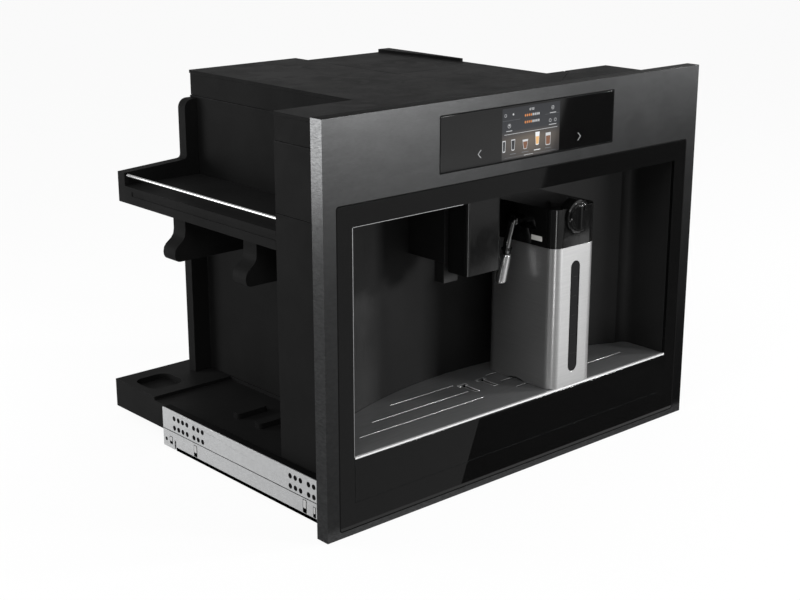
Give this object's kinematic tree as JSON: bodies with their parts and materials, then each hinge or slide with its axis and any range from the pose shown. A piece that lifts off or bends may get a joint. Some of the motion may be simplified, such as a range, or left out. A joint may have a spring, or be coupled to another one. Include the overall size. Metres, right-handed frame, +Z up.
{
  "type": "built-in coffee machine",
  "caption": "Built-in bean-to-cup coffee machine: glass front, concave cup niche with drip tray, coffee spout and milk carafe, side bay with shelf and cord hooks, hung on telescopic runners.",
  "frame": {"origin": "middle of the bounding box in plan, at the bottom edge of the front frame", "axes": "+X to the right seen from the front, +Y from the front face to the rear, +Z up"},
  "size_m": [0.597, 0.4856, 0.455],
  "materials": {
    "brushed_frame": "dark graphite steel, brushed along its length",
    "black_glass": "black back-printed glass, polished",
    "clear_glass": "clear smoked pane",
    "satin_black": "satin black moulding",
    "body_plastic": "matt black moulding with a fine grain",
    "dark_plastic": "matt black moulding",
    "gloss_black": "polished black moulding",
    "zinc": "zinc-plated folded steel, satin",
    "brushed_steel": "stainless steel, brushed upright",
    "tray_metal": "dark stainless steel, brushed across",
    "chrome": "polished chrome",
    "cast_metal": "as cast",
    "board": "coated circuit board",
    "smoke": "smoke-tinted moulding",
    "milk_white": "natural white moulding"
  },
  "bodies": {
    "cabinet_runners": {"left_cabinet_runner": "zinc", "right_cabinet_runner": "zinc"},
    "middle_runners": {"left_middle_runner": "zinc", "right_middle_runner": "zinc"},
    "machine": {"front_frame": "brushed_frame", "control_glass": "black_glass", "control_carrier": "dark_plastic", "display_module": "dark_plastic", "control_board": "board", "door_glass": "black_glass", "niche_liner": "satin_black", "spout_guide": "satin_black", "hot_water_outlet": "satin_black", "steam_connector": "satin_black", "lower_front_housing": "body_plastic", "upper_front_housing": "body_plastic", "base_tray": "body_plastic", "top_cover": "body_plastic", "right_top_cap": "body_plastic", "left_side_panel": "body_plastic", "right_side_panel": "body_plastic", "rear_panel": "body_plastic", "mains_inlet": "dark_plastic", "storage_shelf": "body_plastic", "shelf_rail": "chrome", "front_cord_hook": "body_plastic", "rear_cord_hook": "body_plastic", "left_machine_runner": "zinc", "right_machine_runner": "zinc", "bean_hopper": "smoke", "grinder_housing": "dark_plastic", "grinder_motor": "cast_metal", "bulkhead": "dark_plastic", "thermoblock": "cast_metal", "pump": "cast_metal", "power_board": "board"},
    "drip_tray_body": {"drip_tray": "dark_plastic", "float_rest": "dark_plastic", "drip_tray_front": "black_glass", "drip_grid": "tray_metal"},
    "float_body": {"tray_float": "milk_white"},
    "coffee_spout_body": {"coffee_spout": "gloss_black"},
    "carafe_body": {"milk_carafe": "brushed_steel", "carafe_floor": "brushed_steel", "sight_window": "clear_glass"},
    "carafe_lid_body": {"carafe_lid": "gloss_black", "milk_pickup_tube": "milk_white"},
    "knob_body": {"froth_knob": "gloss_black"},
    "milk_spout_body": {"milk_spout": "chrome", "milk_spout_tip": "brushed_steel"},
    "bean_lid_body": {"bean_lid": "body_plastic"},
    "dial_body": {"grind_dial": "dark_plastic"},
    "upper_burr_body": {"upper_burr": "cast_metal"},
    "lower_burr_body": {"lower_burr": "cast_metal"},
    "brew_unit_body": {"brew_unit": "dark_plastic"},
    "piston_body": {"brew_piston": "milk_white"},
    "grounds_body": {"grounds_container": "satin_black"},
    "tank_body": {"water_tank": "smoke"},
    "tank_lid_body": {"water_tank_lid": "dark_plastic"},
    "switch_body": {"power_switch": "gloss_black"}
  },
  "joints": [
    {"name": "machine_slide", "type": "slide", "parent": "cabinet_runners", "child": "machine", "axis": [0, -1, 0], "range_m": [0, 0.28]},
    {"name": "middle_runner_slide", "type": "slide", "parent": "cabinet_runners", "child": "middle_runners", "axis": [0, -1, 0], "range_m": [0, 0.14]},
    {"name": "drip_tray_slide", "type": "slide", "parent": "machine", "child": "drip_tray_body", "axis": [0, -1, 0], "range_m": [0, 0.13]},
    {"name": "tray_float_rise", "type": "slide", "parent": "drip_tray_body", "child": "float_body", "axis": [0, 0, 1], "range_m": [0, 0.008]},
    {"name": "coffee_spout_height", "type": "slide", "parent": "machine", "child": "coffee_spout_body", "axis": [0, 0, -1], "range_m": [0, 0.06]},
    {"name": "carafe_slide", "type": "slide", "parent": "machine", "child": "carafe_body", "axis": [0, -1, 0], "range_m": [0, 0.12]},
    {"name": "carafe_lid_lift", "type": "slide", "parent": "carafe_body", "child": "carafe_lid_body", "axis": [0, 0, 1], "range_m": [0, 0.02]},
    {"name": "froth_knob_turn", "type": "hinge", "parent": "carafe_lid_body", "child": "knob_body", "pos_m": [0.08225, -0.23275, 0.2975], "axis": [0, 1, 0], "range_deg": [-90, 90]},
    {"name": "milk_spout_swivel", "type": "hinge", "parent": "carafe_lid_body", "child": "milk_spout_body", "pos_m": [0.0455, -0.17275, 0.289], "axis": [1, 0, 0], "range_deg": [-30, 30]},
    {"name": "bean_lid_hinge", "type": "hinge", "parent": "machine", "child": "bean_lid_body", "pos_m": [0.0133, 0.09525, 0.445], "axis": [0, -1, 0], "range_deg": [0, 100]},
    {"name": "grind_dial_turn", "type": "hinge", "parent": "machine", "child": "dial_body", "pos_m": [0.03, 0.09525, 0.428], "axis": [0, 0, 1], "range_deg": [-60, 60]},
    {"name": "upper_burr_turn", "type": "hinge", "parent": "machine", "child": "upper_burr_body", "pos_m": [0.085, 0.09725, 0.316], "axis": [0, 0, 1], "range_deg": [-24, 24]},
    {"name": "burr_spin", "type": "hinge", "parent": "machine", "child": "lower_burr_body", "pos_m": [0.085, 0.09725, 0.29], "axis": [0, 0, 1], "continuous": true},
    {"name": "brew_unit_slide", "type": "slide", "parent": "machine", "child": "brew_unit_body", "axis": [1, 0, 0], "range_m": [0, 0.1]},
    {"name": "brew_piston_stroke", "type": "slide", "parent": "brew_unit_body", "child": "piston_body", "axis": [0, 0, 1], "range_m": [0, 0.03]},
    {"name": "grounds_container_slide", "type": "slide", "parent": "machine", "child": "grounds_body", "axis": [1, 0, 0], "range_m": [0, 0.1]},
    {"name": "water_tank_lift", "type": "slide", "parent": "machine", "child": "tank_body", "axis": [0, 0, 1], "range_m": [0, 0.14]},
    {"name": "water_tank_lid_hinge", "type": "hinge", "parent": "tank_body", "child": "tank_lid_body", "pos_m": [0.158, 0.10175, 0.2943], "axis": [0, -1, 0], "range_deg": [0, 85]},
    {"name": "power_switch_rock", "type": "hinge", "parent": "machine", "child": "switch_body", "pos_m": [-0.072, 0.20855, 0.09], "axis": [1, 0, 0], "range_deg": [-7, 7]}
  ],
  "couplings": [
    {"joint": "middle_runner_slide", "follows": "machine_slide", "ratio": 0.5},
    {"joint": "upper_burr_turn", "follows": "grind_dial_turn", "ratio": -0.4}
  ]
}
